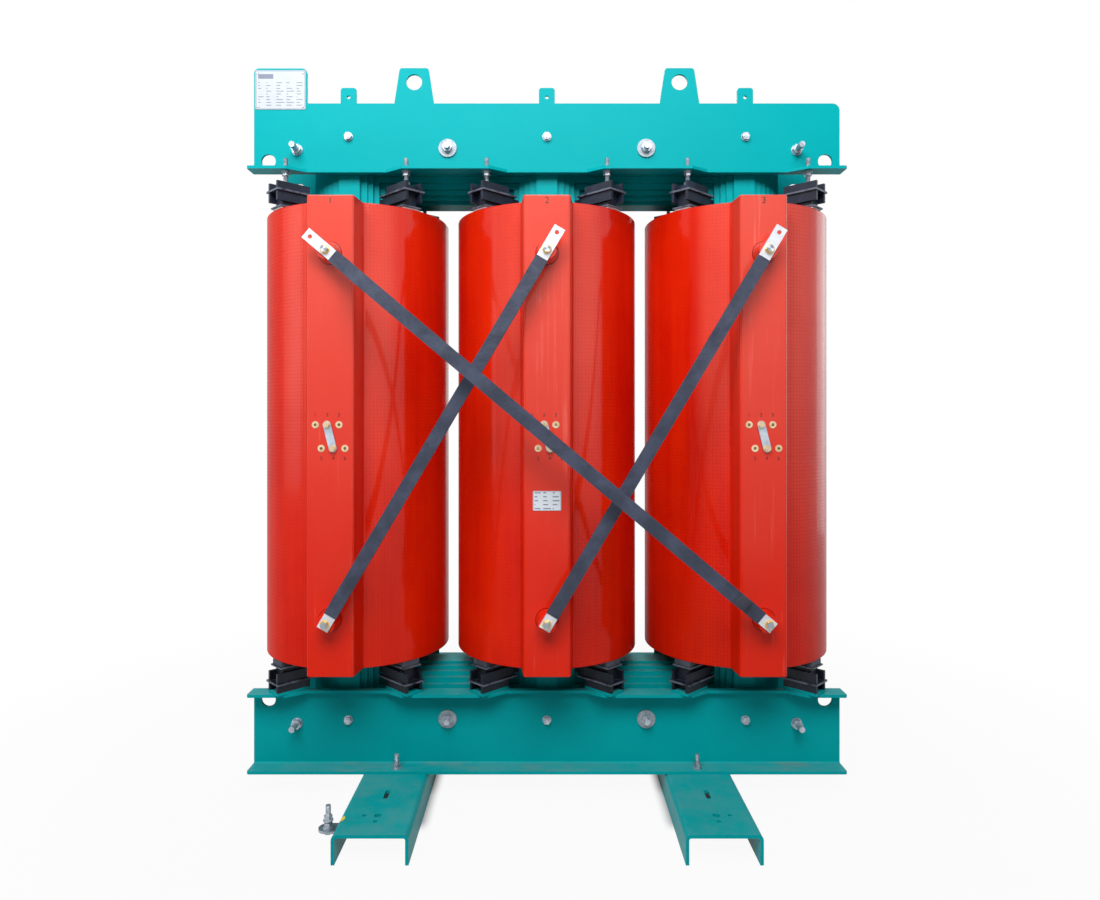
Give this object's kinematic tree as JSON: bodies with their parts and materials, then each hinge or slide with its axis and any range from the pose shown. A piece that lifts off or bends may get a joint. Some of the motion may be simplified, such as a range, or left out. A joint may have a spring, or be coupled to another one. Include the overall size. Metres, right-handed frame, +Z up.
{
  "type": "dry type transformer",
  "caption": "Cast resin dry type transformer: mitred core, round coils with a terminal ridge, delta bars across the front, folded clamps with lifting ears, on channel runners.",
  "frame": {"origin": "on the floor under the centre of the middle limb", "axes": "+Z up, +X along the row of coils to the right seen from the terminal side, -Y towards the high voltage terminals"},
  "size_m": [1.624, 1, 2.004],
  "materials": {
    "core_paint": "gloss enamel over stacked core plate",
    "frame_paint": "smooth gloss enamel",
    "pressboard": "dry pressboard",
    "zinc_steel": "zinc plated",
    "cast_resin": "cast epoxy with a faint glass cloth imprint",
    "foil_winding": "resin bonded edge",
    "terminal_brass": "turned and tinned",
    "link_metal": "nickel plated",
    "moulded_black": "glass filled moulding",
    "rubber_pad": "silicone rubber",
    "bare_bar": "bright rolled",
    "sleeve_grey": "heat shrunk sleeve",
    "insulator_resin": "cast standoff",
    "plate_metal": "satin sheet",
    "label_film": "printed film"
  },
  "bodies": {
    "root": {"core_limb_left": "core_paint", "core_limb_middle": "core_paint", "core_limb_right": "core_paint", "core_yoke_top": "core_paint", "core_yoke_bottom": "core_paint", "tie_plates_front": "core_paint", "tie_plates_rear": "core_paint", "clamp_top_front": "frame_paint", "clamp_top_rear": "frame_paint", "clamp_bottom_front": "frame_paint", "clamp_bottom_rear": "frame_paint", "runner_left": "frame_paint", "runner_right": "frame_paint", "earth_tab": "frame_paint", "yoke_insulation_top": "pressboard", "yoke_insulation_bottom": "pressboard", "earth_bolt": "zinc_steel", "yoke_bolts_top": "zinc_steel", "yoke_bolts_bottom": "zinc_steel", "yoke_bolt_washers": "zinc_steel", "end_tie_rods_top": "zinc_steel", "end_tie_rods_bottom": "zinc_steel", "tie_plate_bolts_top": "zinc_steel", "tie_plate_bolts_bottom": "zinc_steel", "runner_bolts": "zinc_steel", "pressure_studs": "zinc_steel", "tap_link_bolts": "zinc_steel", "lv_bar_bolts": "zinc_steel", "rating_plate_rivets": "zinc_steel", "hv_coil_left": "cast_resin", "hv_coil_middle": "cast_resin", "hv_coil_right": "cast_resin", "lv_coil_left": "foil_winding", "lv_coil_middle": "foil_winding", "lv_coil_right": "foil_winding", "tap_inserts": "terminal_brass", "hv_terminal_inserts": "terminal_brass", "hv_terminal_bolts": "terminal_brass", "tap_links": "link_metal", "support_blocks_top": "moulded_black", "support_blocks_bottom": "moulded_black", "support_spacers_bottom": "moulded_black", "support_pads_top": "rubber_pad", "support_pads_bottom": "rubber_pad", "delta_bar_long": "bare_bar", "delta_bar_left": "bare_bar", "delta_bar_right": "bare_bar", "lv_bar_left": "bare_bar", "lv_bar_middle": "bare_bar", "lv_bar_right": "bare_bar", "lv_neutral_bar": "bare_bar", "lv_neutral_leads": "bare_bar", "delta_sleeve_long": "sleeve_grey", "delta_sleeve_left": "sleeve_grey", "delta_sleeve_right": "sleeve_grey", "lv_insulators": "insulator_resin", "rating_plate": "plate_metal", "tap_label": "label_film"}
  },
  "joints": []
}
